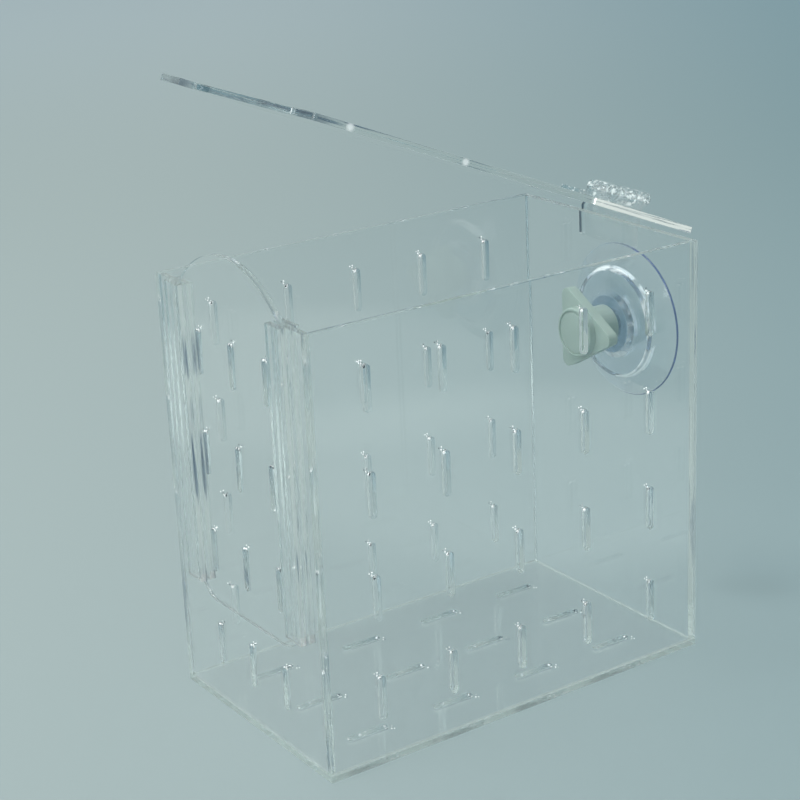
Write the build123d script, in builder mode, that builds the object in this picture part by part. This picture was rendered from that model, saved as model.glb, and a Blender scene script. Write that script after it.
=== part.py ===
from build123d import *
from math import cos, radians, sin
import os

# Sheet and box
sheet = 3.0
box_length = 200.0
box_depth = 120.0
wall_height = 190.0

# Flow slots, cut right through the sheets
slot_length = 20.0
slot_width = 3.0
row_count = 4
row_pitch = 45.0
column_count = 5
column_pitch = 36.5
end_column_count = 3
end_column_pitch = 27.0
base_row_count = 3

# Doorway and door at the left end
doorway_margin = 19.7
sill_height = 48.0
doorway_corner = 12.0
door_side_gap = 0.3
door_face_gap = 0.1
handle_rise = 18.5

# Guide strips over the edges of the doorway
guide_width = 12.0
guide_thickness = 3.0
guide_overlap = 5.0
guide_foot = 7.0

# Lid
lid_rest_angle = 22.5
lid_corner = 2.0
lid_hinge_gap = 0.3
notch_side_gap = 3.0
notch_end_gap = 1.2
notch_corner = 2.0

# Hinge
hinge_width = 37.0
leaf_length = 12.0
leaf_thickness = 3.3
leaf_corner = 1.5
barrel_radius = 3.2
plate_gap = 0.3
knuckle_count = 5
knuckle_gap = 0.2
pin_radius = 1.2
pin_clearance = 0.05
pin_head_radius = 2.2
pin_head_length = 0.8

# Suction cup, turned about an axis through the right end wall
cup_leaf_gap = 3.0
cup_radius = 36.0
cup_depth = 11.0
cup_rim_land = 1.0
cup_rim_edge = 0.6
hub_face_radius = 13.4
hub_base_radius = 16.3
hub_rise = 2.0
dome_radius = 25.5
dome_edge = 2.2
cup_web = 5.4
skirt_wall = 1.2

# Threaded stud of the cup
stud_radius = 3.0
stud_reach = 16.0
stud_head_radius = 8.0
stud_head_thickness = 1.8
stud_head_cover = 1.4
stud_seat_gap = 0.05
stud_hole_gap = 0.3

# Thumb nut on the inside
nut_height = 19.0
nut_foot_radius = 9.5
nut_foot_length = 10.5
nut_wing_thickness = 5.0
nut_cap_radius = 11.5
nut_wing_tip_radius = 21.0
nut_corner_radius = 3.5
nut_cap_edge = 0.8
nut_groove_radius = 10.3
nut_groove_width = 0.9
nut_groove_depth = 0.7
nut_bore_spare = 1.0
nut_thread_gap = 0.05

# Heights above the plane that the box stands on
rim_height = sheet + wall_height
wall_middle = sheet + wall_height / 2
leaf_lower_end = rim_height - leaf_length
cup_axis_height = leaf_lower_end - cup_leaf_gap - cup_radius

doorway_width = box_depth - 2 * doorway_margin


def slots(across, along, columns, rows, turn):
    """Cuts a grid of round-ended slots out of the current sketch."""
    with GridLocations(across, along, columns, rows):
        SlotOverall(slot_length, slot_width, rotation=turn, mode=Mode.SUBTRACT)


# Base plate, the sheet that everything stands on
with BuildPart() as base_plate:
    with BuildSketch():
        Rectangle(box_length, box_depth)
        slots(row_pitch, column_pitch, row_count, base_row_count, 0)
    extrude(amount=sheet)


# Long walls, seen from the front, with their lower edges on the base plate
def long_wall(face_y):
    """One long wall whose rear face lies at face_y."""
    with BuildPart() as wall:
        with BuildSketch(Plane(origin=(0, face_y, wall_middle), x_dir=(1, 0, 0), z_dir=(0, -1, 0))):
            Rectangle(box_length, wall_height)
            slots(column_pitch, row_pitch, column_count, row_count, 90)
        extrude(amount=sheet)
    return wall.part


front_wall = long_wall(sheet - box_depth / 2)
back_wall = long_wall(box_depth / 2)

# End walls, fitted between the long walls
end_width = box_depth - 2 * sheet


def end_plane(outer_x):
    """The plane of an end sheet: its X runs along the depth, its Y runs up from the middle of the wall."""
    return Plane(origin=(outer_x, 0, wall_middle), x_dir=(0, 1, 0), z_dir=(1, 0, 0))


door_end_x = -box_length / 2
suction_end_x = box_length / 2

with BuildPart() as suction_end_wall:
    with BuildSketch(end_plane(suction_end_x - sheet)):
        Rectangle(end_width, wall_height)
        with Locations((0, cup_axis_height - wall_middle)):
            Circle(stud_radius + stud_hole_gap, mode=Mode.SUBTRACT)
    extrude(amount=sheet)

doorway_bottom = sill_height - wall_height / 2
doorway_top = wall_height / 2
sill_slot_row = -row_pitch * (row_count - 1) / 2

with BuildPart() as door_end_wall:
    with BuildSketch(end_plane(door_end_x)):
        Rectangle(end_width, wall_height)
        with Locations((0, sill_slot_row)):
            slots(end_column_pitch, row_pitch, end_column_count, 1, 90)
    extrude(amount=sheet)
    with BuildSketch(end_plane(door_end_x)) as doorway:
        with Locations((0, (doorway_bottom + doorway_top) / 2)):
            Rectangle(doorway_width, doorway_top - doorway_bottom)
        fillet(doorway.vertices().group_by(Axis.Y)[0], doorway_corner)
    extrude(amount=sheet, mode=Mode.SUBTRACT)

# Door, a tongue that fills the doorway and rises above the rim in an arch
door_width = doorway_width - 2 * door_side_gap
door_thickness = sheet - 2 * door_face_gap
door_slot_rows = row_count - 1

with BuildPart() as door:
    with BuildSketch(end_plane(door_end_x + door_face_gap)) as tongue:
        with Locations((0, (doorway_bottom + doorway_top) / 2)):
            Rectangle(door_width, doorway_top - doorway_bottom)
        fillet(tongue.vertices().group_by(Axis.Y)[0], doorway_corner + door_side_gap)
        with BuildLine():
            handle = ThreePointArc(
                (-door_width / 2, doorway_top),
                (0, doorway_top + handle_rise),
                (door_width / 2, doorway_top),
            )
            Line(handle @ 1, handle @ 0)
        make_face()
        with Locations((0, row_pitch / 2)):
            slots(end_column_pitch, row_pitch, end_column_count, door_slot_rows, 90)
    extrude(amount=door_thickness)

# Guide strips, two outside and two inside the door end wall
guide_length = wall_height - sill_height - guide_foot
guide_middle_y = door_width / 2 - guide_overlap + guide_width / 2
guide_middle_z = (doorway_bottom + guide_foot + doorway_top) / 2


def guide(face_x, side):
    """One guide strip whose left face lies at face_x; side is -1 at the front and 1 at the back."""
    with BuildPart() as strip:
        with BuildSketch(end_plane(face_x)):
            with Locations((side * guide_middle_y, guide_middle_z)):
                Rectangle(guide_width, guide_length)
        extrude(amount=guide_thickness)
    return strip.part


guides = {
    "guide_outer_front": guide(door_end_x - guide_thickness, -1),
    "guide_outer_back": guide(door_end_x - guide_thickness, 1),
    "guide_inner_front": guide(door_end_x + sheet, -1),
    "guide_inner_back": guide(door_end_x + sheet, 1),
}

# Hinge axis, a leaf and a barrel radius away from the wall's outer face and from the closed lid's top
hinge_offset = leaf_thickness + barrel_radius
hinge_x = suction_end_x + hinge_offset
hinge_z = rim_height + sheet + hinge_offset
lid_slope = radians(lid_rest_angle)

# In both frames X runs along the leaf away from the barrel, and Z points away from the sheet under it
lid_frame = Plane(origin=(hinge_x, 0, hinge_z), x_dir=(-cos(lid_slope), 0, sin(lid_slope)),
                  z_dir=(sin(lid_slope), 0, cos(lid_slope)))
wall_frame = Plane(origin=(hinge_x, 0, hinge_z), x_dir=(0, 0, -1), z_dir=(1, 0, 0))

# Lid, as long as the box with its outer guide strips, notched for the door's handle
lid_start = hinge_offset + lid_hinge_gap
lid_end = hinge_x - door_end_x + guide_thickness
notch_start = hinge_x - (door_end_x + sheet) - notch_end_gap
notch_width = door_width + 2 * notch_side_gap

with BuildPart() as lid:
    with BuildSketch(lid_frame.offset(-hinge_offset - sheet)) as lid_outline:
        with Locations(((lid_start + lid_end) / 2, 0)):
            Rectangle(lid_end - lid_start, box_depth)
        fillet(lid_outline.vertices(), lid_corner)
    extrude(amount=sheet)
    with BuildSketch(lid_frame.offset(-hinge_offset - sheet)) as notch:
        with Locations(((notch_start + lid_end) / 2, 0)):
            Rectangle(lid_end - notch_start, notch_width)
        fillet(notch.vertices().group_by(Axis.X)[0], notch_corner)
    extrude(amount=sheet, mode=Mode.SUBTRACT)

# Hinge leaves: a plate, and every second knuckle of the barrel on a slanting neck
knuckle_pitch = hinge_width / knuckle_count
plate_start = hinge_offset + plate_gap


def hinge_leaf(frame, first_knuckle, plate_end):
    """One leaf in its frame, with the knuckles first_knuckle, first_knuckle + 2 and so on."""
    side = Plane(origin=frame.origin, x_dir=frame.x_dir, z_dir=frame.y_dir)
    neck_corners = [(0, 0), (plate_start, barrel_radius), (plate_start, hinge_offset), (0, barrel_radius)]
    with BuildPart() as leaf:
        with BuildSketch(frame.offset(-hinge_offset)) as plate:
            with Locations(((plate_start + plate_end) / 2, 0)):
                Rectangle(plate_end - plate_start, hinge_width)
            fillet(plate.vertices().group_by(Axis.X)[-1], leaf_corner)
        extrude(amount=leaf_thickness)
        for number in range(first_knuckle, knuckle_count, 2):
            with BuildSketch(side.offset(number * knuckle_pitch + (knuckle_gap - hinge_width) / 2)):
                Circle(barrel_radius)
                with BuildLine():
                    Polyline(*neck_corners, close=True)
                make_face()
            extrude(amount=knuckle_pitch - knuckle_gap)
        with BuildSketch(side):
            Circle(pin_radius + pin_clearance)
        extrude(amount=hinge_width / 2, both=True, mode=Mode.SUBTRACT)
    return leaf.part


hinge_wall_leaf = hinge_leaf(wall_frame, 0, hinge_z - leaf_lower_end)
hinge_lid_leaf = hinge_leaf(lid_frame, 1, lid_start + leaf_length)

# Hinge pin, headed at both ends so that it stays in the barrel
with BuildPart() as hinge_pin:
    with BuildSketch(Plane(origin=(hinge_x, 0, hinge_z), x_dir=(1, 0, 0), z_dir=(0, 1, 0))):
        Circle(pin_radius)
    extrude(amount=hinge_width / 2 + pin_head_length, both=True)
    for end in (-1, 1):
        barrel_end = (hinge_x, end * hinge_width / 2, hinge_z)
        with BuildSketch(Plane(origin=barrel_end, x_dir=(1, 0, 0), z_dir=(0, end, 0))):
            Circle(pin_head_radius)
        extrude(amount=pin_head_length)

# Suction cup, stud and nut are turned: X runs out of the box along the axis, Y is the radius
turning_plane = Plane(origin=(suction_end_x, 0, cup_axis_height), x_dir=(1, 0, 0), z_dir=(0, -1, 0))
turning_axis = Axis((suction_end_x, 0, cup_axis_height), (1, 0, 0))
stud_head_start = stud_head_cover
stud_head_end = stud_head_cover + stud_head_thickness
skirt_start = hub_rise + dome_edge
skirt_middle = (skirt_start + cup_depth) / 2 - cup_rim_edge


def stud_corners(spare):
    """Corners of half the section of the stud and its head, grown by spare all round."""
    return [
        (-sheet - stud_reach - spare, 0),
        (-sheet - stud_reach - spare, stud_radius + spare),
        (stud_head_start - spare, stud_radius + spare),
        (stud_head_start - spare, stud_head_radius + spare),
        (stud_head_end + spare, stud_head_radius + spare),
        (stud_head_end + spare, 0),
    ]


with BuildPart() as cup_stud:
    with BuildSketch(turning_plane):
        with BuildLine():
            Polyline(*stud_corners(0), close=True)
        make_face()
    revolve(axis=turning_axis)

with BuildPart() as suction_cup:
    with BuildSketch(turning_plane):
        with BuildLine():
            Polyline(
                (cup_web, 0),
                (0, 0),
                (0, hub_face_radius),
                (hub_rise, hub_base_radius),
                (hub_rise, dome_radius),
                (skirt_start, dome_radius),
            )
            ThreePointArc(
                (skirt_start, dome_radius),
                (skirt_middle, (dome_radius + cup_radius) / 2),
                (cup_depth - cup_rim_edge, cup_radius),
            )
            Polyline(
                (cup_depth - cup_rim_edge, cup_radius),
                (cup_depth, cup_radius),
                (cup_depth, cup_radius - cup_rim_land),
            )
            ThreePointArc(
                (cup_depth, cup_radius - cup_rim_land),
                (skirt_middle + skirt_wall, (dome_radius + cup_radius) / 2 - skirt_wall),
                (skirt_start + skirt_wall, dome_radius - skirt_wall),
            )
            Line((skirt_start + skirt_wall, dome_radius - skirt_wall), (cup_web, 0))
        make_face()
    revolve(axis=turning_axis)
    with BuildSketch(turning_plane):
        with BuildLine():
            Polyline(*stud_corners(stud_seat_gap), close=True)
        make_face()
    revolve(axis=turning_axis, mode=Mode.SUBTRACT)

# Thumb nut: a round foot on the wall, a three-cornered wing plate and a round cap with a ring groove
nut_frame = Plane(origin=(suction_end_x - sheet, 0, cup_axis_height), x_dir=(0, 1, 0), z_dir=(-1, 0, 0))

with BuildPart() as thumb_nut:
    with BuildSketch(nut_frame):
        Circle(nut_foot_radius)
    extrude(amount=nut_foot_length)
    with BuildSketch(nut_frame.offset(nut_foot_length)) as wings:
        RegularPolygon(nut_wing_tip_radius + nut_corner_radius, 3, rotation=60)
        fillet(wings.vertices(), nut_corner_radius)
    extrude(amount=nut_wing_thickness)
    with BuildSketch(nut_frame.offset(nut_foot_length + nut_wing_thickness)):
        Circle(nut_cap_radius)
    extrude(amount=nut_height - nut_foot_length - nut_wing_thickness)
    fillet(thumb_nut.faces().sort_by(Axis.X)[0].edges(), nut_cap_edge)
    with BuildSketch(nut_frame.offset(nut_height - nut_groove_depth)):
        Circle(nut_groove_radius)
        Circle(nut_groove_radius - nut_groove_width, mode=Mode.SUBTRACT)
    extrude(amount=nut_groove_depth, mode=Mode.SUBTRACT)
    with BuildSketch(nut_frame):
        Circle(stud_radius + nut_thread_gap)
    extrude(amount=stud_reach + nut_bore_spare, mode=Mode.SUBTRACT)

pieces = {
    "base_plate": base_plate.part,
    "front_wall": front_wall,
    "back_wall": back_wall,
    "suction_end_wall": suction_end_wall.part,
    "door_end_wall": door_end_wall.part,
    "door": door.part,
    **guides,
    "lid": lid.part,
    "hinge_wall_leaf": hinge_wall_leaf,
    "hinge_lid_leaf": hinge_lid_leaf,
    "hinge_pin": hinge_pin.part,
    "suction_cup": suction_cup.part,
    "cup_stud": cup_stud.part,
    "thumb_nut": thumb_nut.part,
}

os.makedirs("parts", exist_ok=True)
for name, piece in pieces.items():
    piece.label = name
    export_step(piece, f"parts/{name}.step")
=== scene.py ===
import math

import bmesh
import bpy
from mathutils import Matrix, Vector


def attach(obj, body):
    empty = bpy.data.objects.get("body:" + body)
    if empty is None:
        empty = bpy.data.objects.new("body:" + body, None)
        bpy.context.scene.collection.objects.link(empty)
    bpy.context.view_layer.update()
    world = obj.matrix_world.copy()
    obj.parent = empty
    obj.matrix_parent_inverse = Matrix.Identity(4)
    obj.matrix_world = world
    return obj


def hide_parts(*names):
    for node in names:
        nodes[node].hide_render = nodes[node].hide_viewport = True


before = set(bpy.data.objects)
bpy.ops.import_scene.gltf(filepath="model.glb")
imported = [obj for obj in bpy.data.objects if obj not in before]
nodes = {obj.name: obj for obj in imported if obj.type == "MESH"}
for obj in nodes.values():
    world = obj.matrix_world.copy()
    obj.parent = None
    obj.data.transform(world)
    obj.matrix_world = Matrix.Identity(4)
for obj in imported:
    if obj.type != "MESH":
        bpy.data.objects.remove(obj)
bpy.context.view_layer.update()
scene = bpy.context.scene


# The box is laser cut from clear 3 mm cast acrylic with polished faces. The laser leaves the cut edges wavy
# and streaked, and spits small drops of melt at the top of each slot. The pale and dark streaks on the cut
# edges are partly the plastic's own tint along the long way through an edge, and partly painted reflection
# of the lamps and the dark room.
class Wire:
    """An output of a node. Sums, differences and products of it add their Math nodes."""

    def __init__(self, tree, socket=None):
        self.tree = tree
        self.socket = socket

    def node(self, kind, settings, sockets, out=0):
        made = self.tree.nodes.new(kind)
        for name, value in settings.items():
            setattr(made, name, value)
        for name, value in sockets.items():
            for part in value if isinstance(value, list) else [value]:
                if isinstance(part, Wire):
                    self.tree.links.new(part.socket, made.inputs[name])
                else:
                    made.inputs[name].default_value = part
        return Wire(self.tree, made.outputs[out] if made.outputs else None)

    def also(self, name):
        return Wire(self.tree, self.socket.node.outputs[name])

    def maths(self, operation, first, second=0.0):
        return self.node("ShaderNodeMath", {"operation": operation}, {0: first, 1: second})

    def vector(self, operation, first, second=(0, 0, 0), out=0):
        return self.node("ShaderNodeVectorMath", {"operation": operation}, {0: first, 1: second}, out)

    def __add__(self, other):
        return self.maths("ADD", self, other)

    __radd__ = __add__

    def __sub__(self, other):
        return self.maths("SUBTRACT", self, other)

    def __rsub__(self, other):
        return self.maths("SUBTRACT", other, self)

    def __mul__(self, other):
        return self.maths("MULTIPLY", self, other)

    __rmul__ = __mul__

    def __truediv__(self, other):
        return self.maths("DIVIDE", self, other)

    def __rtruediv__(self, other):
        return self.maths("DIVIDE", other, self)

    def __pow__(self, power):
        return self.maths("POWER", self, power)

    def along(self, letter):
        return self.node("ShaderNodeSeparateXYZ", {}, {0: self}, letter)

    def xyz(self, **parts):
        return self.node("ShaderNodeCombineXYZ", {}, parts)

    def noise(self, place, scale, detail=2.0, rough=0.5):
        return self.node("ShaderNodeTexNoise", {}, {
            "Vector": place, "Scale": scale, "Detail": detail, "Roughness": rough})

    def spread(self, low, high, to_low=0.0, to_high=1.0):
        return self.node("ShaderNodeMapRange", {"interpolation_type": "SMOOTHSTEP"}, {
            "Value": self, "From Min": low, "From Max": high, "To Min": to_low, "To Max": to_high})

    def fade(self, low, high):
        return self.spread(low, high, 1.0, 0.0)

    def blend(self, first, second):
        return self.node("ShaderNodeMix", {"data_type": "RGBA"}, {0: self, 6: first, 7: second}, 2)

    def bumps(self, strength, distance):
        return self.node("ShaderNodeBump", {}, {"Strength": strength, "Distance": distance, "Height": self})

    def under(self, share, skin):
        """This shader with a share of another one laid over it."""
        return self.node("ShaderNodeMixShader", {}, {0: share, 1: self, 2: skin})


plastic_ior = 1.49


def new_finish(name):
    made = bpy.data.materials.new(name)
    made.use_nodes = True
    made.node_tree.nodes.clear()
    wire = Wire(made.node_tree)
    return made, wire, wire.node("ShaderNodeTexCoord", {}, {}, "Object")


def glassy(wire, colour, roughness, normal, clearness=1.0):
    return wire.node("ShaderNodeBsdfPrincipled", {}, {
        "Base Color": colour, "Roughness": roughness, "IOR": plastic_ior, "Transmission Weight": clearness,
        "Normal": normal})


def opaque_skin(wire, colour, roughness=0.35, glint=(0, 0, 0, 1)):
    """Opaque plastic skin, whitened or stained through, also laid over clear parts as painted highlight or
    painted dark reflection. Its glint is painted sparkle, a glow that shows from every side.
    """
    return wire.node("ShaderNodeBsdfPrincipled", {}, {
        "Base Color": colour, "Roughness": roughness, "IOR": plastic_ior, "Emission Color": glint,
        "Emission Strength": 1.0})


def clear_finish(wire, plastic, through, faint=0.0, volume=None):
    """Lamps and soft light pass the clear plastic straight, a little less where they graze it. Light caught
    inside it past many bounces ends in a painted pale glow near the backdrop's colour, in place of the light
    it would still carry. The faint share is plain to see through from everywhere."""
    most_bounces = 10.5
    shadow = wire.node("ShaderNodeLightPath", {}, {}, "Is Shadow Ray")
    straight = wire.maths("MAXIMUM", shadow, shadow.also("Is Diffuse Ray"))
    edge_on = wire.node("ShaderNodeLayerWeight", {}, {"Blend": 0.35}, "Facing")
    film = wire.node("ShaderNodeBsdfTransparent", {}, {"Color": (1, 1, 1, 1)})
    open_share = wire.maths("MAXIMUM", straight * (through - 0.12 * edge_on ** 3), faint)
    glow = wire.node("ShaderNodeEmission", {}, {"Color": (0.37, 0.47, 0.46, 1), "Strength": 1.0})
    caught = wire.maths("GREATER_THAN", shadow.also("Ray Depth"), most_bounces)
    surface = plastic.under(caught, glow).under(open_share, film)
    ends = {"Surface": surface} if volume is None else {"Surface": surface, "Volume": volume}
    wire.node("ShaderNodeOutputMaterial", {}, ends)


acrylic, wire, place = new_finish("clear_cast_acrylic")


def mark(wire, name):
    """What the cutting writes on a sheet: where it is cut, how deep, and how strongly the cut shows."""
    return wire.node("ShaderNodeAttribute", {"attribute_name": name}, {}, "Fac")


cut_edge = mark(wire, "cut_edge")
layer = mark(wire, "layer")
drop = mark(wire, "drop")
strength = mark(wire, "edge_strength")

# The cut round a sheet has a strength, and the cuts of its slots have none.
outer = wire.maths("GREATER_THAN", strength, 0.05)
haze = wire.noise(place, 22.0, 4.0)
melt = wire.noise(place, 260.0, 2.0)
waves = wire.noise(place, 16.0, 1.0)
drawn_out = wire.vector("MULTIPLY", place, (9.0, 9.0, 24.0))
streaks = wire.noise(wire.vector("ADD", drawn_out, wire.xyz(X=layer * 0.8, Y=layer * 0.4)), 1.0, 2.0, 0.55)
height = place.along("Z")
above_base = height.spread(0.0032, 0.0050)
lid_tip = height.spread(0.2700, 0.2725)
# The cut edges' colours are partly the plastic's own tint along the long way through an edge, and partly
# painted reflection: the dark navy and grey streaks stand in for the dark room mirrored in the edges, and
# the pale ones stand in for the lamps. Each slot's edge is painted darker towards its upper end.
wall_edge_tint_and_reflection = streaks.spread(0.39, 0.45).blend((0.12, 0.17, 0.26, 1), (1.0, 1.0, 0.98, 1))
base_edge_tint_and_reflection = streaks.spread(0.3, 0.5).blend((0.72, 0.82, 0.78, 1), (0.97, 1.0, 0.97, 1))
tip_bands = wire.noise(place, 45.0, 1.0).spread(0.42, 0.60)
lid_tip_tint_and_reflection = tip_bands.blend((0.26, 0.29, 0.34, 1), (0.66, 0.70, 0.74, 1))
outline_tint_and_reflection = lid_tip.blend(above_base.blend(base_edge_tint_and_reflection, wall_edge_tint_and_reflection), lid_tip_tint_and_reflection)
slot_shade = (0.5 * drop + 1.2 * streaks).spread(0.35, 1.0)
slot_edge_tint_and_reflection = slot_shade.blend((0.93, 0.97, 0.98, 1), (0.36, 0.47, 0.56, 1))
polished_face = (0.998, 1.0, 0.999, 1)
tint = cut_edge.blend(polished_face, outer.blend(slot_edge_tint_and_reflection, outline_tint_and_reflection))
wavy = waves + cut_edge * (0.16 * streaks + (0.05 - 0.03 * outer) * melt)
roughness = 0.004 + haze.spread(0.55, 0.8) * 0.02 + cut_edge * 0.02 * melt
sheet_body = glassy(wire, tint, roughness, wavy.bumps(0.05, 0.001))

# The base plate's sawn edge is dull. Two painted glints, white spots that also glow a little, sit on the
# lid's long edge, and the drops of melt are painted white or nearly black, with a little glow on the white,
# as painted sparkle.
sawn = opaque_skin(wire, streaks.blend((0.40, 0.49, 0.46, 1), (0.62, 0.70, 0.66, 1)))
sheet_body = sheet_body.under(0.55 * outer * cut_edge * (1 - above_base), sawn)
painted_glints = [wire.vector("DISTANCE", place, middle, "Value").spread(0.0006, reach, 0.7, 0.0)
         for middle, reach in (((-0.0747, -0.0600, 0.2690), 0.0026), ((-0.0222, -0.0600, 0.2471), 0.0024))]
painted_glint_skin = opaque_skin(wire, (0.97, 1.0, 1.0, 1), 0.3, (0.35, 0.35, 0.35, 1))
sheet_body = sheet_body.under(painted_glints[0] + painted_glints[1], painted_glint_skin)
# Painted sparkle: a fine noise colours each drop's faces white, with a little glow, or nearly black.
painted_sparkle_mask = wire.noise(place, 800.0, 0.0).spread(0.41, 0.46)
painted_sparkle_drop = opaque_skin(wire, painted_sparkle_mask.blend((0.01, 0.02, 0.04, 1), (1.0, 1.0, 1.0, 1)), 0.2,
                  painted_sparkle_mask.blend((0, 0, 0, 1), (0.5, 0.5, 0.5, 1)))
sheet_body = sheet_body.under(mark(wire, "spatter"), painted_sparkle_drop)
seen_through = outer.spread(0.0, 1.0, 0.52 - 0.22 * drop, 0.9 - 0.9 * strength)
clear_finish(wire, sheet_body, 0.99, cut_edge * seen_through)


# One cutting path serves every sheet: an outline and a grid of round-ended slots, with both arrises of each
# cut melted a little round by the laser. Cemented faces stand a glue line back from their neighbours.
def new_shaping(name, inputs, result):
    """A Geometry Nodes tree with its named inputs and one result."""
    tree = bpy.data.node_groups.new(name, "GeometryNodeTree")
    tree.is_modifier = True
    sockets = {label: tree.interface.new_socket(name=label, in_out="INPUT", socket_type=f"NodeSocket{kind}")
               for label, kind in inputs.items()}
    tree.interface.new_socket(name=result, in_out="OUTPUT", socket_type="NodeSocketGeometry")
    wire = Wire(tree)
    return tree, sockets, wire, wire.node("NodeGroupInput", {}, {})


def step(geometry, kind, settings=None, **inputs):
    """The next step of a Geometry Nodes tree, which takes the geometry as its first input."""
    named = {label.replace("_", " "): value for label, value in inputs.items()}
    return geometry.node(f"GeometryNode{kind}", settings or {}, {0: geometry} | named)


def hand_over(geometry, finish, label):
    """The end of a tree: plain geometry in its finish."""
    plain = step(step(geometry, "RealizeInstances"), "SetMaterial", Material=finish)
    geometry.node("NodeGroupOutput", {}, {label: plain})


cutting_tree, cutting_inputs, wire, given = new_shaping("laser_cut_sheet", {
    "Outline": "Geometry", "Thickness": "Float", "Glue Line": "Float", "Edge Round": "Float",
    "Columns": "Int", "Rows": "Int", "Column Pitch": "Float", "Row Pitch": "Float", "Grid Middle": "Vector",
    "Slot Length": "Float", "Slot Width": "Float", "Bead Radius": "Float", "Edge Strength": "Float",
    "Finish": "Material"}, "Sheet")
spot = wire.node("GeometryNodeInputPosition", {}, {})

# A slot: a ring of points drawn apart into two half rounds, repeated on the grid of columns and rows.
ring_points = 28
slot_length = given.also("Slot Length")
slot_width = given.also("Slot Width")
ring = wire.node("GeometryNodeCurvePrimitiveCircle", {}, {
    "Resolution": ring_points, "Radius": slot_width * 0.5})
ring = step(ring, "Transform", Rotation=(0, 0, math.pi / ring_points))
stretch = wire.maths("SIGN", spot.along("Y")) * (slot_length - slot_width) * 0.5
slot = step(ring, "SetPosition", Offset=wire.xyz(Y=stretch))
slot = step(slot, "StoreNamedAttribute", Name="drop", Value=spot.along("Y") / (slot_length * 0.5))
slot = step(slot, "ReverseCurve")
columns = given.also("Columns")
rows = given.also("Rows")
grid = wire.node("GeometryNodeMeshGrid", {}, {
    "Size X": given.also("Column Pitch") * (columns - 1), "Size Y": given.also("Row Pitch") * (rows - 1),
    "Vertices X": columns, "Vertices Y": rows})


def repeated(piece, **which):
    """One piece at each place of the grid."""
    all_of_them = step(grid, "InstanceOnPoints", Instance=piece, **which)
    return step(step(all_of_them, "Transform", Translation=given.also("Grid Middle")), "RealizeInstances")


# The drops of melt at a slot's upper end: the size of each, and its place aside, above and across the
# sheet, in radii of the largest one.
bead_radius = given.also("Bead Radius")
drops = []
for size, aside, above, deep_in in ((1.0, -0.9, -1.3, 0.2), (0.55, 0.9, -1.0, -1.2), (0.45, -2.9, 0.9, 0.9),
                                    (0.4, -2.0, 1.9, -0.9), (0.35, -4.1, 2.0, 0.3)):
    bead = wire.node("GeometryNodeMeshIcoSphere", {}, {"Radius": bead_radius * size, "Subdivisions": 2})
    perch = wire.xyz(X=bead_radius * aside, Y=slot_length * 0.5 + bead_radius * above,
                     Z=bead_radius * deep_in)
    drops.append(step(bead, "Transform", Translation=perch))
beads = wire.node("GeometryNodeJoinGeometry", {}, {"Geometry": drops})
beads = step(beads, "StoreNamedAttribute", {"domain": "FACE"}, Name="spatter", Value=1.0)
beads = repeated(beads, Selection=wire.maths("GREATER_THAN", bead_radius, 0.0))
beads = step(beads, "SetShadeSmooth", Shade_Smooth=True)


def neighbour(wire, offset):
    """Where the next or the last point along the cut lies."""
    this_point = wire.node("GeometryNodeInputIndex", {}, {})
    index = wire.node("GeometryNodeOffsetPointInCurve", {}, {"Point Index": this_point, "Offset": offset},
                      "Point Index")
    return wire.node("GeometryNodeFieldAtIndex", {"data_type": "FLOAT_VECTOR"}, {
        "Value": spot, "Index": index})


# The outline is turned to run one way round, whichever way it was drawn, and joins the slots.
outline = step(given, "MeshToCurve")
swept = wire.vector("CROSS_PRODUCT", spot, neighbour(wire, 1)).along("Z")
area = wire.node("GeometryNodeAttributeStatistic", {}, {"Geometry": outline, "Attribute": swept}, "Sum")
outline = step(outline, "ReverseCurve", Selection=wire.maths("LESS_THAN", area, 0.0))
outline = step(outline, "StoreNamedAttribute", Name="edge_strength", Value=given.also("Edge Strength"))
cuts = wire.node("GeometryNodeJoinGeometry", {}, {"Geometry": [outline, repeated(slot)]})


def run(wire, start, end):
    return wire.vector("NORMALIZE", wire.vector("SUBTRACT", end, start))


def scaled(vector, factor):
    return vector.node("ShaderNodeVectorMath", {"operation": "SCALE"}, {0: vector, "Scale": factor})


def kept(wire, name):
    return wire.node("GeometryNodeInputNamedAttribute", {"data_type": "FLOAT_VECTOR"}, {"Name": name})


before = run(wire, neighbour(wire, -1), spot)
after = run(wire, spot, neighbour(wire, 1))
inward = wire.vector("ADD", wire.vector("CROSS_PRODUCT", (0, 0, 1), before),
                     wire.vector("CROSS_PRODUCT", (0, 0, 1), after))
inward = scaled(inward, 1 / (1 + wire.vector("DOT_PRODUCT", before, after, "Value")))
for name, value in (("inward", inward), ("path", spot)):
    cuts = step(cuts, "StoreNamedAttribute", {"data_type": "FLOAT_VECTOR"}, Name=name, Value=value)
inward, path = kept(wire, "inward"), kept(wire, "path")
half = given.also("Thickness") * 0.5 - given.also("Glue Line")
arris = given.also("Edge Round")


def level(wire, side, degrees):
    """Place of the cut's line where the rounding of its arris has turned by an angle."""
    angle = math.radians(degrees)
    inset = given.also("Glue Line") + arris * (1 - math.sin(angle))
    rise = side * (half - arris * (1 - math.cos(angle)))
    return wire.vector("ADD", wire.vector("ADD", path, scaled(inward, inset)), wire.xyz(Z=rise))


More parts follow.
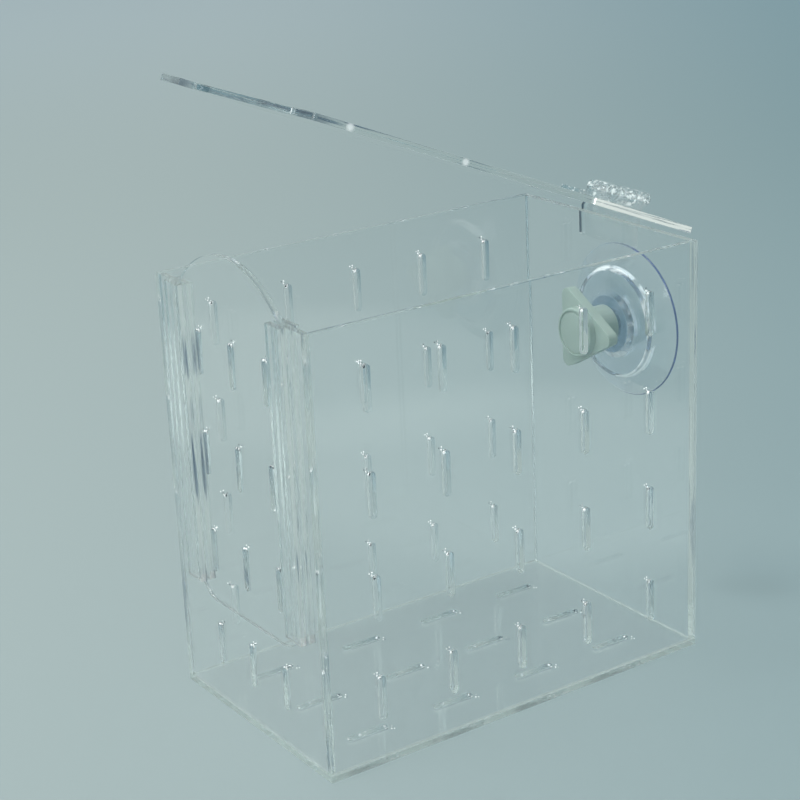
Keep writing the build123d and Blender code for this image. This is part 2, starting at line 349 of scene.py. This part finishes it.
# The cut's wall is drawn up level by level, and both faces of the sheet are filled between its lines.
turns = (0, 30, 60, 90)
levels = [level(wire, -1.0, turn) for turn in turns] + [level(wire, 1.0, turn) for turn in reversed(turns)]
wall = step(cuts, "CurveToMesh")
wall = step(wall, "SetPosition", Position=levels[0])
top = {}
for next_level in levels[1:]:
    wall = step(wall, "ExtrudeMesh", {"mode": "EDGES"}, Offset_Scale=0.0, **top)
    top = {"Selection": wall.also("Top")}
    wall = step(wall, "SetPosition", Position=next_level, **top)
wall = step(wall, "StoreNamedAttribute", {"domain": "FACE"}, Name="cut_edge", Value=1.0)
wall = step(wall, "StoreNamedAttribute", Name="layer", Value=spot.along("Z") / half)
sides = [wall]
for side, line in ((-1.0, levels[0]), (1.0, levels[-1])):
    face = step(step(cuts, "SetPosition", Position=line), "FillCurve", {"mode": "TRIANGLES"})
    sides.append(step(face, "Transform", Translation=wire.xyz(Z=side * half)))
closed = wire.node("GeometryNodeJoinGeometry", {}, {"Geometry": sides})
closed = step(closed, "MergeByDistance", Distance=0.000002)
closed = step(closed, "SetShadeSmooth", Shade_Smooth=False)
closed = wire.node("GeometryNodeJoinGeometry", {}, {"Geometry": [closed, beads]})
for spare in ("inward", "path"):
    closed = step(closed, "RemoveAttribute", Name=spare)
hand_over(closed, given.also("Finish"), "Sheet")


def set_out(name, made):
    """A new object of the scene, at the origin."""
    piece = bpy.data.objects.new(name, made)
    scene.collection.objects.link(piece)
    return piece


def made_plain(piece):
    """Leaves the piece with the plain mesh that its modifier makes."""
    made = bpy.data.meshes.new_from_object(piece.evaluated_get(bpy.context.evaluated_depsgraph_get()))
    piece.modifiers.clear()
    piece.data = made
    made.name = piece.name
    return made


def shape(piece, tree, sockets, values):
    shaping = piece.modifiers.new("shaping", "NODES")
    shaping.node_group = tree
    for label, value in values.items():
        shaping[sockets[label].identifier] = value
    return made_plain(piece)


def settle(piece, body, node):
    """Turns the made mesh's faces outwards and lets it stand for the CAD node."""
    shell = bmesh.new()
    shell.from_mesh(piece.data)
    bmesh.ops.recalc_face_normals(shell, faces=shell.faces)
    open_edges = sum(not edge.is_manifold for edge in shell.edges)
    shell.to_mesh(piece.data)
    shell.free()
    if open_edges:
        print("open edges", piece.name, open_edges)
    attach(piece, body)
    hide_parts(node)


sheet = 0.003
column_pitch, row_pitch = 0.0365, 0.045


def cut_sheet(node, body, outline, middle, across, up, **cut):
    """Cuts one sheet along its outline and slots, and stands it by its middle, its width and its height."""
    drawn = bpy.data.meshes.new(f"{node}_outline")
    count = len(outline)
    drawn.from_pydata([(x, y, 0) for x, y in outline], [(k, (k + 1) % count) for k in range(count)], [])
    piece = set_out(f"{node}_sheet", drawn)
    values = {"Thickness": sheet, "Glue Line": 0.00003, "Edge Round": 0.00018, "Columns": 0, "Rows": 0,
              "Column Pitch": column_pitch, "Row Pitch": row_pitch, "Grid Middle": (0, 0, 0),
              "Slot Length": 0.020, "Slot Width": 0.003, "Bead Radius": 0.0008, "Edge Strength": 0.55,
              "Finish": acrylic}
    values.update({label.replace("_", " ").title(): value for label, value in cut.items()})
    made = shape(piece, cutting_tree, cutting_inputs, values)
    across, up = Vector(across), Vector(up)
    stood_up = Matrix((across, up, across.cross(up))).transposed().to_4x4()
    made.transform(Matrix.Translation(Vector(middle)) @ stood_up)
    settle(piece, body, node)


def panel(width, height):
    right, top = width / 2, height / 2
    return [(-right, -top), (right, -top), (right, top), (-right, top)]


# The base plate carries four rows of three slots, and the long walls stand on it with five columns of four.
# All of them are the same sheet, cemented edge to face, so that only a hairline shows at a joint.
box_length, box_depth, wall_height = 0.200, 0.120, 0.190
along_x, along_y, upright = (1, 0, 0), (0, 1, 0), (0, 0, 1)
wall_middle = sheet + wall_height / 2
cut_sheet("base_plate", "box", panel(box_depth, box_length), (0, 0, sheet / 2), along_y, along_x,
          columns=3, rows=4)
for node, side in (("front_wall", -1), ("back_wall", 1)):
    cut_sheet(node, "box", panel(box_length, wall_height), (0, side * (box_depth - sheet) / 2, wall_middle),
              along_x, upright, columns=5, rows=4)

# The end walls fit between the long ones. The right one has a single round hole for the cup's stud, and the
# left one is a deep U round the doorway, with three slots in its sill.
end_width = box_depth - 2 * sheet
end_x = (box_length - sheet) / 2
cup_height = 0.142
stud_hole = 0.0066
cut_sheet("suction_end_wall", "box", panel(end_width, wall_height), (end_x, 0, wall_middle), along_y,
          upright, columns=1, rows=1, slot_length=stud_hole, slot_width=stud_hole, bead_radius=0.0,
          grid_middle=(0, cup_height - wall_middle, 0))


def rounded(corners, steps=10):
    """An outline whose right-angled corners are rounded by the third number of each."""
    points = []
    for k, (x, y, radius) in enumerate(corners):
        corner = Vector((x, y))
        if radius == 0:
            points.append((x, y))
            continue
        before = (Vector(corners[k - 1][:2]) - corner).normalized()
        after = (Vector(corners[(k + 1) % len(corners)][:2]) - corner).normalized()
        for part in range(steps + 1):
            angle = math.radians(90 * part / steps)
            inset = before * (1 - math.sin(angle)) + after * (1 - math.cos(angle))
            points.append(tuple(corner + radius * inset))
    return points


half_door, door_gap, sill_round = 0.040, 0.0003, 0.012
sill, sill_slots, wall_top = -0.047, -0.0675, wall_height / 2
half_doorway = half_door + door_gap
door_column_pitch = 0.027
doorway = [(half_doorway, wall_top, 0), (half_doorway, sill, sill_round), (-half_doorway, sill, sill_round),
           (-half_doorway, wall_top, 0)]
lower_edge = [(-end_width / 2, -wall_top, 0), (end_width / 2, -wall_top, 0), (end_width / 2, wall_top, 0)]
cut_sheet("door_end_wall", "box", rounded(lower_edge + doorway + [(-end_width / 2, wall_top, 0)]),
          (-end_x, 0, wall_middle), along_y, upright, columns=3, rows=1, column_pitch=door_column_pitch,
          grid_middle=(0, sill_slots, 0))

# The door is the tongue cut out of the doorway, with an arch above the rim to pull it up by. It slides
# between four flat strips cemented over the doorway's edges, two outside and two inside.
arch_radius, arch_centre = 0.0525, 0.061
arch_foot = math.degrees(math.asin((wall_top - arch_centre) / arch_radius))
arch = [math.radians(arch_foot + (180 - 2 * arch_foot) * k / 40) for k in range(1, 40)]
door_round = sill_round + door_gap
tongue = rounded([(-half_door, wall_top, 0), (-half_door, sill, door_round), (half_door, sill, door_round),
                  (half_door, wall_top, 0)])
tongue += [(arch_radius * math.cos(a), arch_centre + arch_radius * math.sin(a)) for a in arch]
door_thickness = 0.0028
cut_sheet("door", "door", tongue, (-end_x, 0, wall_middle), along_y, upright, thickness=door_thickness,
          glue_line=0.0, edge_strength=0.4, columns=3, rows=3, column_pitch=door_column_pitch,
          grid_middle=(0, row_pitch / 2, 0))
guide_width, guide_height, guide_aside, guide_middle = 0.012, 0.135, 0.041, 0.1255
for layer_name, guide_x in (("outer", -end_x - sheet), ("inner", -end_x + sheet)):
    for side_name, guide_y in (("front", -guide_aside), ("back", guide_aside)):
        cut_sheet(f"guide_{layer_name}_{side_name}", "box", panel(guide_width, guide_height),
                  (guide_x, guide_y, guide_middle), along_y, upright, edge_strength=0.8)

# The lid is one more sheet, propped half open by its hinge, with a notch at the free end for the arch.
slope = math.radians(22.5)
lid_along = Vector((-math.cos(slope), 0, math.sin(slope)))
lid_up = Vector((math.sin(slope), 0, math.cos(slope)))
hinge_axis = Vector((0.1065, 0, 0.2025))
lid_below_axis = 0.008
lid_start, lid_end, notch_end = 0.0068, 0.2095, 0.2023
half_lid, half_notch, lid_round = box_depth / 2, 0.043, 0.002
lid_outline = rounded([
    (lid_start, half_lid, lid_round), (lid_start, -half_lid, lid_round), (lid_end, -half_lid, lid_round),
    (lid_end, -half_notch, 0), (notch_end, -half_notch, lid_round), (notch_end, half_notch, lid_round),
    (lid_end, half_notch, 0), (lid_end, half_lid, lid_round)])
cut_sheet("lid", "lid", lid_outline, hinge_axis - lid_below_axis * lid_up, lid_along, (0, -1, 0),
          edge_strength=1.0)

# A small hinge moulded in clear plastic, cemented on the lid's top and on the end wall's outside. Its
# knuckles carry painted glints, white spots scattered by noise, and its far edge a painted dark reflection.
moulded, wire, place = new_finish("clear_moulded_plastic")
flow = wire.noise(place, 120.0, 3.0)
far_side = place.along("Y").spread(0.01832, 0.01842) * place.along("X").fade(0.1010, 0.1018)
knuckles = place.along("Z").spread(0.2000, 0.2012)
painted_knuckle_glints = wire.noise(place, 420.0, 1.0).spread(0.58, 0.63) * knuckles
hinge_body = glassy(wire, flow.blend((0.97, 0.99, 0.99, 1), (1.0, 1.0, 1.0, 1)), 0.01 + 0.03 * flow,
                    flow.bumps(0.06, 0.0006))
hinge_body = hinge_body.under(0.7 * painted_knuckle_glints, opaque_skin(wire, (0.95, 1.0, 1.0, 1), 0.2))
# Painted dark reflection: a nearly black skin on the leaves' far edge.
hinge_body = hinge_body.under(0.9 * far_side * (1 - knuckles), opaque_skin(wire, (0.02, 0.04, 0.09, 1), 0.2))
clear_finish(wire, hinge_body, 0.96, (0.80 - 0.10 * knuckles - 0.4 * painted_knuckle_glints) * (1 - far_side))


def eased(node, body, finish, round_by):
    """The CAD piece again as one closed mesh, its sharp edges eased as a moulding's are."""
    shell = bmesh.new()
    shell.from_mesh(nodes[node].data)
    bmesh.ops.remove_doubles(shell, verts=shell.verts, dist=1e-6)
    bmesh.ops.dissolve_limit(shell, angle_limit=math.radians(1.0), verts=shell.verts, edges=shell.edges)
    mesh = bpy.data.meshes.new(f"{node}_moulding")
    shell.to_mesh(mesh)
    shell.free()
    piece = set_out(f"{node}_moulding", mesh)
    mesh.materials.append(finish)
    mesh.shade_smooth()
    easing = piece.modifiers.new("eased_edges", "BEVEL")
    easing.width = round_by
    easing.segments = 3
    easing.angle_limit = math.radians(30.0)
    easing.harden_normals = True
    made_plain(piece)
    settle(piece, body, node)


for node, body in (("hinge_wall_leaf", "box"), ("hinge_lid_leaf", "lid"), ("hinge_pin", "box")):
    eased(node, body, moulded, 0.00025)

# The suction cup is soft clear vinyl, bluish where it is thick, moulded round the head of its stud. Its lip
# is painted dark navy on the near side as a painted dark reflection, and painted white highlights lie on the
# cone round the hub and on the step before the skirt.
vinyl, wire, place = new_finish("clear_soft_vinyl")
cup_axis = Vector((box_length / 2, 0, cup_height))
flow = wire.noise(place, 60.0, 2.0)
from_axis = wire.vector("MULTIPLY", wire.vector("SUBTRACT", place, (0, 0, cup_height)), (0, 1, 1))
from_axis = wire.vector("LENGTH", from_axis, out="Value")
hub = from_axis.fade(0.0131, 0.0137) * place.along("X").fade(0.1004, 0.1010)
front_side = place.along("Y").fade(-0.014, 0.010)
lip = from_axis.spread(0.0354, 0.0357)
body_tint = hub.blend(flow.blend((0.95, 0.98, 0.99, 1), (0.98, 0.99, 0.995, 1)), (0.26, 0.36, 0.48, 1))
# Painted dark reflection on the lip's near side.
painted_dark_lip_tint = front_side.blend((0.85, 0.90, 0.96, 1), (0.01, 0.05, 0.22, 1))
cup_body = glassy(wire, lip.blend(body_tint, painted_dark_lip_tint), 0.01 + 0.02 * flow, flow.bumps(0.08, 0.001))
cone = from_axis.spread(0.0133, 0.0137) * from_axis.fade(0.0160, 0.0166)
skirt_step = from_axis.spread(0.0245, 0.0248) * from_axis.fade(0.0260, 0.0264)
painted_ring_highlights = (0.75 * cone + 0.9 * skirt_step) * wire.noise(place, 75.0, 2.0).spread(0.42, 0.54)
cup_body = cup_body.under(painted_ring_highlights, opaque_skin(wire, (0.95, 0.99, 1.0, 1), 0.15))
cup_body = cup_body.under(0.7 * lip * front_side, opaque_skin(wire, (0.04, 0.09, 0.26, 1), 0.2))
blue_depth = wire.node("ShaderNodeVolumeAbsorption", {}, {"Color": (0.30, 0.55, 0.85, 1), "Density": 40.0})
clear_finish(wire, cup_body, 0.92, 0.15 * (1 - lip), blue_depth)


def turned(node, profile, finish, count):
    """Turns a profile of (distance out along the cup's axis, radius) about that axis, in millimetres."""
    shell = bmesh.new()
    rings = []
    angles = [2 * math.pi * k / count for k in range(count)]
    for out, radius in profile:
        if radius < 1e-6:
            rings.append([shell.verts.new(cup_axis + Vector((out, 0, 0)) / 1000)])
            continue
        ring = [Vector((out, radius * math.cos(a), radius * math.sin(a))) for a in angles]
        rings.append([shell.verts.new(cup_axis + point / 1000) for point in ring])
    for first, second in zip(rings, rings[1:] + rings[:1]):
        if len(first) == 1 and len(second) == 1:
            continue
        for k in range(count):
            after = k + 1
            corners = [first[k % len(first)], first[after % len(first)], second[after % len(second)],
                       second[k % len(second)]]
            shell.faces.new(list(dict.fromkeys(corners)))
    mesh = bpy.data.meshes.new(f"{node}_turned")
    shell.to_mesh(mesh)
    shell.free()
    mesh.materials.append(finish)
    mesh.shade_smooth()
    settle(set_out(f"{node}_turned", mesh), "box", node)


def softened(corners, steps=5):
    """A profile whose corners are rounded by the third number of each, where it isn't 0."""
    points = []
    for k, (out, radius, ease) in enumerate(corners):
        corner = Vector((out, radius))
        if ease == 0:
            points.append((out, radius))
            continue
        before = Vector(corners[k - 1][:2]) - corner
        after = Vector(corners[(k + 1) % len(corners)][:2]) - corner
        reach = min(ease, 0.49 * before.length, 0.49 * after.length)
        start = corner + before.normalized() * reach
        end = corner + after.normalized() * reach
        for t in (part / steps for part in range(steps + 1)):
            points.append(tuple(start * (1 - t) ** 2 + corner * 2 * t * (1 - t) + end * t * t))
    return points


def bow(start, middle, end, count=12):
    """Points of the circle's arc through three points, as corners left sharp, its ends left out."""
    a, b, c = (complex(*p) for p in (start, middle, end))
    w = (c - a) / (b - a)
    centre = (b - a) * (w - abs(w) ** 2) / (2j * w.imag) + a
    first, last = a - centre, c - centre
    turn = math.atan2((last / first).imag, (last / first).real)
    through = math.atan2(((b - centre) / first).imag, ((b - centre) / first).real)
    if turn * through < 0:
        turn -= math.copysign(2 * math.pi, turn)
    angles = [turn * k / count for k in range(1, count)]
    spots = [centre + first * complex(math.cos(angle), math.sin(angle)) for angle in angles]
    return [(p.real, p.imag, 0) for p in spots]


stud_pocket = [(5.4, 0.0, 0), (3.25, 0.0, 0), (3.25, 8.05, 0.1), (1.35, 8.05, 0.1), (1.35, 3.05, 0.1),
               (0.03, 3.05, 0)]
hub_and_step = [(0.03, 13.4, 0.5), (2.0, 16.3, 0.7), (2.0, 25.5, 0.5), (4.2, 25.5, 0.5)]
skirt_outside = bow((4.2, 25.5), (7.0, 30.75), (10.4, 36.0))
lip_round = [(10.4, 36.0, 0.3), (11.0, 36.0, 0.25), (11.0, 35.0, 0.3)]
skirt_inside = bow((11.0, 35.0), (8.2, 29.55), (5.4, 24.3)) + [(5.4, 24.3, 0.8)]
cup_profile = softened(stud_pocket + hub_and_step + skirt_outside + lip_round + skirt_inside)
turned("suction_cup", cup_profile, vinyl, count=96)

# The stud is moulded in clear plastic. Its flat head is caught inside the cup, and its shank goes through
# the hole in the end wall and carries a screw thread for the nut.
stud_plastic, wire, place = new_finish("stud_plastic")
flow = wire.noise(place, 200.0, 2.0)
stud_body = glassy(wire, flow.blend((0.40, 0.52, 0.60, 1), (0.52, 0.63, 0.68, 1)), 0.06 + 0.1 * flow,
                   flow.bumps(0.1, 0.0005), clearness=0.85)
clear_finish(wire, stud_body, 0.8)
shank = [(-19.0, 0.0, 0), (-19.0, 2.7, 0.5), (1.4, 2.7, 0.2)]
head = [(1.4, 8.0, 0.3), (3.2, 8.0, 0.3), (3.2, 0.0, 0)]
turned("cup_stud", softened(shank + head), stud_plastic, count=64)

# The stud's thread is one round-topped ridge, moulded with the shank and wound along it, and cut off
# square at both ends.
thread_tree, thread_inputs, wire, given = new_shaping("screw_thread", {
    "Start Mesh": "Geometry", "Turns": "Float", "Shank Radius": "Float", "Length": "Float",
    "Ridge Radius": "Float", "Start": "Vector", "Finish": "Material"}, "Thread")
shank_radius = given.also("Shank Radius")
winding = wire.node("GeometryNodeCurveSpiral", {}, {
    "Resolution": 24, "Rotations": given.also("Turns"), "Height": given.also("Length"),
    "Start Radius": shank_radius, "End Radius": shank_radius})
ridge = wire.node("GeometryNodeCurvePrimitiveCircle", {}, {
    "Resolution": 6, "Radius": given.also("Ridge Radius")})
wound = step(winding, "CurveToMesh", Profile_Curve=ridge, Fill_Caps=True)
wound = step(wound, "Transform", Rotation=(0, math.radians(90), 0), Translation=given.also("Start"))
wound = step(wound, "MergeByDistance", Distance=0.000002)
hand_over(wound, given.also("Finish"), "Thread")
thread = set_out("stud_thread", bpy.data.meshes.new("stud_thread_start"))
shape(thread, thread_tree, thread_inputs, {
    "Turns": 13.0, "Shank Radius": 0.0026, "Length": 0.0165, "Ridge Radius": 0.00036,
    "Start": tuple(cup_axis - Vector((0.0182, 0, 0))), "Finish": stud_plastic}).shade_smooth()
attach(thread, "box")

# The thumb nut is a milky, greenish white moulding: a round foot, three wings and a cap with a ring groove.
# It is screwed on the stud from inside the box and draws the cup against the end wall.
milky, wire, place = new_finish("milky_nut_plastic")
mottle = wire.noise(place, 90.0, 3.0)
grain = wire.noise(place, 1400.0, 2.0)
milk = wire.node("ShaderNodeBsdfPrincipled", {}, {
    "Base Color": mottle.blend((0.36, 0.46, 0.42, 1), (0.46, 0.56, 0.51, 1)),
    "Roughness": 0.30 + 0.12 * mottle, "IOR": plastic_ior, "Subsurface Weight": 0.35,
    "Subsurface Radius": (0.004, 0.005, 0.0045), "Normal": grain.bumps(0.15, 0.0003)})
milk = milk.under(0.24 + 0.12 * mottle, wire.node("ShaderNodeBsdfTransparent", {}, {}))
wire.node("ShaderNodeOutputMaterial", {}, {"Surface": milk})
eased("thumb_nut", "thumb_nut", milky, 0.0006)

# The box stands on plain pale card that runs out of sight. Its colour holds a painted falloff of light,
# darker towards the right and paler far off. In front of the box, to the right, a painted pool of light lies
# on it, which the clear front wall mirrors.
floor_mesh = bpy.data.meshes.new("floor")
reach = 12.0
floor_mesh.from_pydata([(-reach, -reach, 0), (reach, -reach, 0), (reach, reach, 0), (-reach, reach, 0)], [],
                       [(0, 1, 2, 3)])
floor = set_out("floor", floor_mesh)
floor.location.z = -0.0002
card, wire, place = new_finish("floor_card")
rightward = wire.vector("DOT_PRODUCT", place, (0.82, -0.57, 0), "Value")
away = wire.vector("DOT_PRODUCT", place, (0.57, 0.82, 0), "Value")
sideways = rightward.spread(-0.35, 0.9) + 0.05 * (wire.noise(place, 900.0, 2.0) - 0.5)
near = sideways.blend((0.326, 0.378, 0.380, 1), (0.141, 0.252, 0.295, 1))
far = sideways.blend((0.410, 0.480, 0.519, 1), (0.202, 0.329, 0.387, 1))
pool_across, pool_away = (rightward - 0.31) / 0.17, (away + 0.13) / 0.20
painted_light_pool = (pool_across * pool_across + pool_away * pool_away).fade(0.3, 1.0)
shade = painted_light_pool.blend(away.spread(0.8, 2.6).blend(near, far), (0.66, 0.75, 0.75, 1))
paper = wire.node("ShaderNodeBsdfPrincipled", {}, {
    "Base Color": shade, "Roughness": 0.55, "Specular IOR Level": 0.3})
wire.node("ShaderNodeOutputMaterial", {}, {"Surface": paper})
floor_mesh.materials.append(card)

# The room round it: pale paper curving up behind, a soft ceiling and a pale left wall, and a dark room in
# front and to the right. The light is patchy, so that the clear sheets have something to mirror.
world = bpy.data.worlds.new("studio")
scene.world = world
world.use_nodes = True
world.node_tree.nodes.clear()
wire = Wire(world.node_tree)
way = wire.node("ShaderNodeTexCoord", {}, {}, "Generated")
upward = way.along("Z")
behind = wire.vector("DOT_PRODUCT", way, (0.45, 0.89, 0), "Value")
leftward = wire.vector("DOT_PRODUCT", way, (-0.95, 0.30, 0), "Value")
paper_up = behind.spread(-0.3, 0.5) * (1 - upward.spread(0.2, 0.5))
ceiling = upward.spread(0.45, 0.95)
left_wall = leftward.spread(0.3, 0.9) * upward.spread(0.0, 0.2)
patches = wire.noise(way, 2.6, 1.0)
light = 0.24 + 0.26 * paper_up + 0.62 * ceiling + 0.4 * left_wall + 0.55 * (patches - 0.5)
room = light.blend((0.02, 0.04, 0.06, 1), (0.90, 1.0, 0.97, 1))
seen = wire.node("ShaderNodeLightPath", {}, {}, "Is Camera Ray")
backdrop = seen.blend(room, (0.36, 0.47, 0.49, 1))
sky = wire.node("ShaderNodeBackground", {}, {"Color": backdrop, "Strength": 1.0})
wire.node("ShaderNodeOutputWorld", {}, {"Surface": sky})


box_middle = Vector((0, 0, 0.1))


def soft_light(name, place, size, power, colour):
    """A soft panel that is turned towards the box's middle."""
    lamp = bpy.data.lights.new(name, "AREA")
    lamp.shape = "RECTANGLE"
    lamp.size, lamp.size_y = size
    lamp.energy = power
    lamp.color = colour
    held = set_out(name, lamp)
    held.location = place
    held.rotation_euler = (box_middle - Vector(place)).to_track_quat("-Z", "Y").to_euler()


soft_light("overhead", (-0.9, 0.9, 3.0), (2.8, 2.2), 56.0, (0.96, 1.0, 1.0))
soft_light("left_side", (-2.6, -1.0, 1.6), (1.2, 1.4), 22.0, (0.94, 1.0, 1.0))
soft_light("spot_panel", (-1.2, 0.5, 2.4), (0.35, 0.35), 12.0, (1.0, 1.0, 1.0))

# The camera stands at the photo's viewing angle, in front to the left and a little above the rim.
eye = bpy.data.cameras.new("eye")
eye.sensor_width = 36.0
eye.lens = 89.758
watcher = set_out("eye", eye)
watcher.location = (-0.47099, -0.67781, 0.419419)
watcher.rotation_euler = [math.radians(angle) for angle in (70.5508, 2.4627, -34.6285)]
scene.camera = watcher
scene.view_settings.view_transform = "Standard"

# Light crosses many clear faces, one behind the other.
for bounces in ("max_bounces", "transmission_bounces", "glossy_bounces", "transparent_max_bounces"):
    setattr(scene.cycles, bounces, 32)
